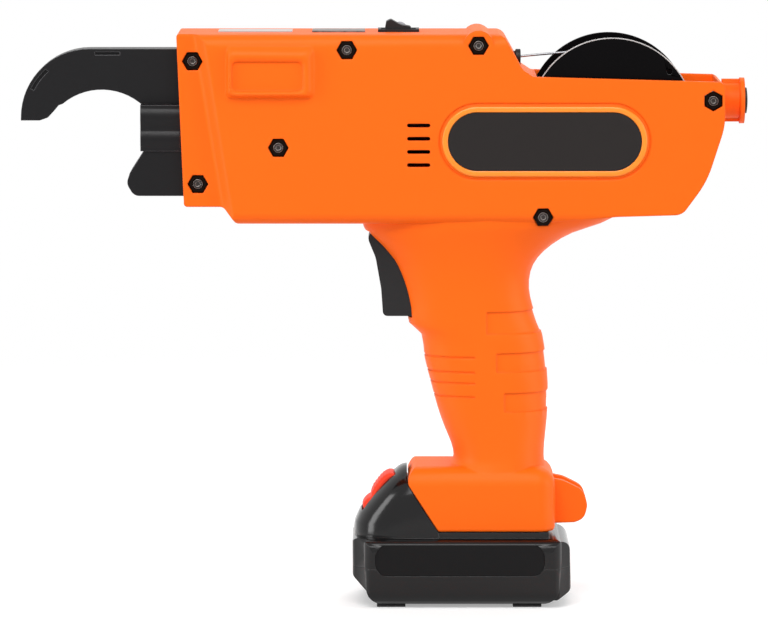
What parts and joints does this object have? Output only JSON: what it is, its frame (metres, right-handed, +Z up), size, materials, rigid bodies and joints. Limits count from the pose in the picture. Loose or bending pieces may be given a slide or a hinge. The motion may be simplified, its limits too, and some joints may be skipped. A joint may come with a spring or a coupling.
{
  "type": "rebar tying tool",
  "caption": "Battery pistol-grip tool that feeds tie wire from a reel round crossed bars inside its hooked jaw and twists it tight.",
  "frame": {"origin": "centre of the tool's box, on the plane that the battery feet stand on", "axes": "+X from the nose to the rear, +Z up, the pictured side faces -Y"},
  "size_m": [0.3043, 0.0598, 0.2451],
  "materials": {
    "orange_plastic": "moulded, satin",
    "black_plastic": "moulded, satin",
    "black_steel": "blackened",
    "steel": "bright",
    "motor_can": "plated",
    "nut_steel": "dull",
    "bronze": "sintered",
    "black_plate": "gloss",
    "pale_strip": "film",
    "grey_panel": "film",
    "grey_lens": "frosted",
    "board_green": "lacquered",
    "terminal_grey": "moulded",
    "cell_blue": "sleeved",
    "foot_rubber": "matte",
    "red_plastic": "satin"
  },
  "bodies": {
    "body": {"left_housing": "orange_plastic", "right_housing": "orange_plastic", "label_plate": "black_plate", "top_strip": "pale_strip", "top_panel": "grey_panel", "curl_guide": "black_steel", "throat_block": "black_steel", "lower_jaw": "black_steel", "wire_inlet": "black_plastic", "guide_tube": "steel", "wire_lead": "steel", "cutter_die": "steel", "front_bush": "bronze", "twist_motor": "motor_can", "gearbox": "motor_can", "feed_motor": "motor_can", "feed_bracket": "steel", "control_board": "board_green", "trigger_switch": "black_plastic", "rocker_frame": "black_plastic", "lens": "grey_lens", "reel_stub": "steel", "rear_boss": "orange_plastic", "terminal_block": "terminal_grey", "housing_screws": "steel", "housing_nuts": "nut_steel"},
    "trigger": {"trigger": "black_plastic"},
    "rocker": {"rocker": "black_plastic"},
    "reel": {"reel": "black_plastic", "wire_core": "steel", "wire_winding": "steel"},
    "reel_pin": {"reel_pin": "steel"},
    "twister": {"twist_spindle": "steel", "twist_hook": "steel"},
    "feed_wheel": {"feed_wheel": "steel"},
    "pinch_wheel": {"pinch_wheel": "steel"},
    "rear_button": {"rear_button": "black_plastic"},
    "battery": {"battery_cover": "black_plastic", "battery_tub": "black_plastic", "battery_plate": "black_plate", "battery_cells": "cell_blue", "battery_board": "board_green", "battery_contacts": "bronze", "battery_feet": "foot_rubber"},
    "release_button": {"release_button": "red_plastic"}
  },
  "joints": [
    {"name": "trigger_pull", "type": "slide", "parent": "body", "child": "trigger", "axis": [1, 0, 0], "range_m": [0, 0.006], "stiffness_N_per_m": 500},
    {"name": "rocker_tilt", "type": "hinge", "parent": "body", "child": "rocker", "pos_m": [0.0061, 0, 0.239], "axis": [0, -1, 0], "range_deg": [0, 20]},
    {"name": "reel_spin", "type": "hinge", "parent": "body", "child": "reel", "pos_m": [0.0948, 0, 0.2043], "axis": [0, 1, 0], "continuous": true},
    {"name": "reel_pin_pull", "type": "slide", "parent": "body", "child": "reel_pin", "axis": [0, 1, 0], "range_m": [0, 0.01], "stiffness_N_per_m": 600},
    {"name": "twist_spin", "type": "hinge", "parent": "body", "child": "twister", "pos_m": [-0.06, 0, 0.202], "axis": [1, 0, 0], "continuous": true},
    {"name": "feed_spin", "type": "hinge", "parent": "body", "child": "feed_wheel", "pos_m": [0.046, -0.0069, 0.227], "axis": [0, 0, 1], "continuous": true},
    {"name": "pinch_spin", "type": "hinge", "parent": "body", "child": "pinch_wheel", "pos_m": [0.046, 0.0069, 0.227], "axis": [0, 0, 1], "continuous": true},
    {"name": "rear_button_press", "type": "slide", "parent": "body", "child": "rear_button", "axis": [-1, 0, 0], "range_m": [0, 0.001], "stiffness_N_per_m": 600},
    {"name": "battery_slide", "type": "slide", "parent": "body", "child": "battery", "axis": [-1, 0, 0], "range_m": [0, 0.075]},
    {"name": "release_press", "type": "slide", "parent": "battery", "child": "release_button", "axis": [0.7976, 0, -0.6032], "range_m": [0, 0.0025], "stiffness_N_per_m": 500}
  ],
  "couplings": [
    {"joint": "feed_spin", "follows": "reel_spin", "ratio": -3.775},
    {"joint": "pinch_spin", "follows": "reel_spin", "ratio": 3.775}
  ]
}
